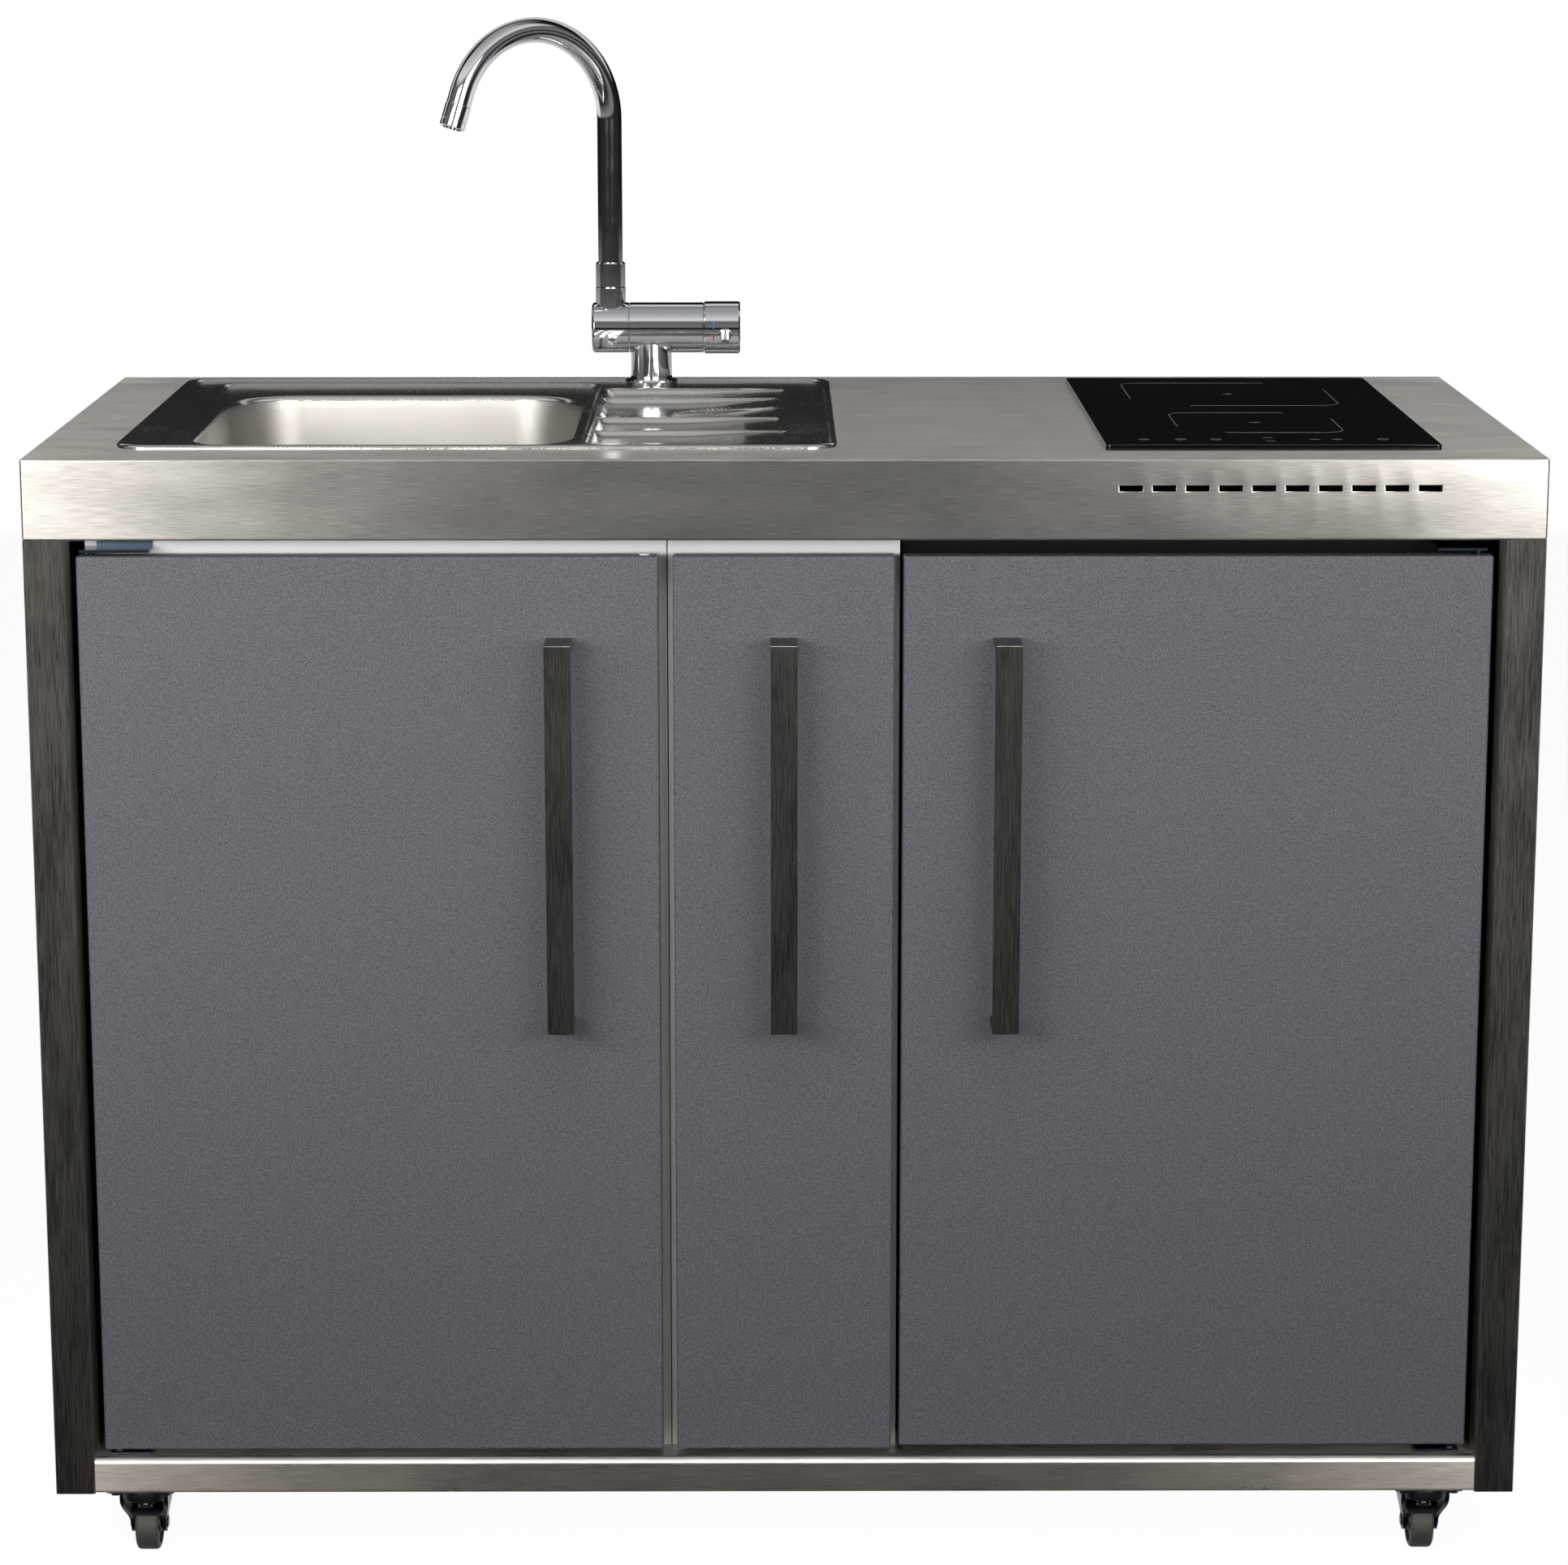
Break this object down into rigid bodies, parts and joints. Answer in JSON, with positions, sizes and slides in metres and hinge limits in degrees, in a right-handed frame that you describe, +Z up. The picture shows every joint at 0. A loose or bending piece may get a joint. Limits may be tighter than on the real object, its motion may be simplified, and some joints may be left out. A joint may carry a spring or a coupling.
{
  "type": "outdoor kitchen unit",
  "caption": "Wheeled stainless outdoor kitchen unit: sink with fold-down mixer tap, induction hob, cupboard, slide-out bottle unit and built-in refrigerator.",
  "frame": {"origin": "on the floor, under the middle of the unit's bounding box", "axes": "+X to the right seen from the front, +Y to the back, +Z up"},
  "size_m": [1.3, 0.652, 1.3557],
  "materials": {
    "brushed_stainless": "satin, long grain",
    "dark_brushed_stainless": "satin, vertical grain",
    "panel_stainless": "satin sheet",
    "sink_steel": "pressed, satin to polished",
    "tap_chrome": "polished plating",
    "door_paint": "fine-textured powder coat",
    "cabinet_white": "smooth powder coat",
    "zinc": "zinc plated",
    "pullout_steel": "grey powder coat",
    "hob_ceramic": "black ceramic glass",
    "hob_sheet": "plain sheet",
    "coil_copper": "enamelled winding",
    "black_plastic": "moulded",
    "wheel_rubber": "grey tread",
    "black_paint": "satin black",
    "white_plastic": "moulded",
    "gasket_rubber": "soft extruded",
    "clear_shelf": "clear",
    "knob_plastic": "moulded",
    "brass": "turned",
    "hose_braid": "braided sleeve"
  },
  "bodies": {
    "frame": {"worktop": "brushed_stainless", "leg_front_left": "dark_brushed_stainless", "leg_front_right": "dark_brushed_stainless", "leg_rear_left": "dark_brushed_stainless", "leg_rear_right": "dark_brushed_stainless", "side_panels": "panel_stainless", "back_panel": "panel_stainless", "base_tray": "brushed_stainless", "caster_plates": "zinc", "caster_bolts": "zinc", "sink": "sink_steel", "sink_waste": "sink_steel", "bottle_trap": "white_plastic", "tap_body": "tap_chrome", "tap_fixing_nut": "brass", "water_hoses": "hose_braid", "inlet_connectors": "brass", "hob_glass": "hob_ceramic", "hob_housing": "hob_sheet", "induction_coils": "coil_copper", "hob_fan": "black_plastic", "sink_cabinet": "cabinet_white", "cabinet_shelf": "cabinet_white", "door_hinge_plates": "zinc", "pullout_cabinet": "cabinet_white", "pullout_rails": "zinc", "fridge_cabinet": "black_paint", "fridge_liner": "white_plastic", "fridge_shelves": "clear_shelf", "compressor": "black_paint", "condenser_coil": "black_paint", "fridge_hinge_plates": "zinc", "thermostat_box": "white_plastic"},
    "sink_door": {"left_door": "door_paint", "left_handle": "dark_brushed_stainless", "left_door_plug": "white_plastic"},
    "pullout": {"pullout_front": "door_paint", "pullout_handle": "dark_brushed_stainless", "pullout_frame": "pullout_steel", "pullout_trays": "pullout_steel"},
    "refrigerator_door": {"fridge_door": "door_paint", "fridge_inner_door": "white_plastic", "fridge_gasket": "gasket_rubber", "fridge_handle": "dark_brushed_stainless", "fridge_door_racks": "clear_shelf"},
    "knuckle": {"tap_knuckle": "tap_chrome"},
    "spout": {"tap_spout": "tap_chrome", "tap_aerator": "tap_chrome"},
    "tap_control_ring": {"tap_control": "tap_chrome"},
    "strainer": {"strainer_basket": "sink_steel"},
    "thermostat": {"thermostat_knob": "knob_plastic"},
    "fan_rotor": {"hob_fan_rotor": "black_plastic"},
    "fork_front_left": {"caster_fork_front_left": "black_paint"},
    "wheel_front_left": {"caster_wheel_front_left": "wheel_rubber"},
    "fork_front_right": {"caster_fork_front_right": "black_paint"},
    "wheel_front_right": {"caster_wheel_front_right": "wheel_rubber"},
    "fork_rear_left": {"caster_fork_rear_left": "black_paint"},
    "wheel_rear_left": {"caster_wheel_rear_left": "wheel_rubber"},
    "fork_rear_right": {"caster_fork_rear_right": "black_paint"},
    "wheel_rear_right": {"caster_wheel_rear_right": "wheel_rubber"}
  },
  "joints": [
    {"name": "sink_door_hinge", "type": "hinge", "parent": "frame", "child": "sink_door", "pos_m": [-0.5945, -0.2745, 0.5145], "axis": [0, 0, -1], "range_deg": [0, 110]},
    {"name": "pullout_slide", "type": "slide", "parent": "frame", "child": "pullout", "axis": [0, -1, 0], "range_m": [0, 0.42]},
    {"name": "refrigerator_door_hinge", "type": "hinge", "parent": "frame", "child": "refrigerator_door", "pos_m": [0.5945, -0.2745, 0.516], "axis": [0, 0, 1], "range_deg": [0, 110]},
    {"name": "tap_fold", "type": "hinge", "parent": "frame", "child": "knuckle", "pos_m": [-0.163, 0.249, 1.0585], "axis": [1, 0, 0], "range_deg": [0, 90]},
    {"name": "spout_swivel", "type": "hinge", "parent": "knuckle", "child": "spout", "pos_m": [-0.166, 0.249, 1.112], "axis": [0, 0, -1], "range_deg": [-50, 120]},
    {"name": "tap_control_turn", "type": "hinge", "parent": "frame", "child": "tap_control_ring", "pos_m": [-0.061, 0.249, 1.0585], "axis": [1, 0, 0], "range_deg": [-50, 50]},
    {"name": "strainer_lift", "type": "slide", "parent": "frame", "child": "strainer", "axis": [0, 0, 1], "range_m": [0, 0.1]},
    {"name": "thermostat_turn", "type": "hinge", "parent": "frame", "child": "thermostat", "pos_m": [0.5325, 0.01715, 0.825], "axis": [-1, 0, 0], "range_deg": [0, 270]},
    {"name": "hob_fan_spin", "type": "hinge", "parent": "frame", "child": "fan_rotor", "pos_m": [0.3335, -0.197, 0.962], "axis": [0, 0, 1], "continuous": true},
    {"name": "swivel_front_left", "type": "hinge", "parent": "frame", "child": "fork_front_left", "pos_m": [-0.576, -0.255, 0.06], "axis": [0, 0, 1], "continuous": true},
    {"name": "roll_front_left", "type": "hinge", "parent": "fork_front_left", "child": "wheel_front_left", "pos_m": [-0.576, -0.233, 0.025], "axis": [1, 0, 0], "continuous": true},
    {"name": "swivel_front_right", "type": "hinge", "parent": "frame", "child": "fork_front_right", "pos_m": [0.576, -0.255, 0.06], "axis": [0, 0, 1], "continuous": true},
    {"name": "roll_front_right", "type": "hinge", "parent": "fork_front_right", "child": "wheel_front_right", "pos_m": [0.576, -0.233, 0.025], "axis": [1, 0, 0], "continuous": true},
    {"name": "swivel_rear_left", "type": "hinge", "parent": "frame", "child": "fork_rear_left", "pos_m": [-0.576, 0.268, 0.06], "axis": [0, 0, 1], "continuous": true},
    {"name": "roll_rear_left", "type": "hinge", "parent": "fork_rear_left", "child": "wheel_rear_left", "pos_m": [-0.576, 0.29, 0.025], "axis": [1, 0, 0], "continuous": true},
    {"name": "swivel_rear_right", "type": "hinge", "parent": "frame", "child": "fork_rear_right", "pos_m": [0.576, 0.268, 0.06], "axis": [0, 0, 1], "continuous": true},
    {"name": "roll_rear_right", "type": "hinge", "parent": "fork_rear_right", "child": "wheel_rear_right", "pos_m": [0.576, 0.29, 0.025], "axis": [1, 0, 0], "continuous": true}
  ]
}
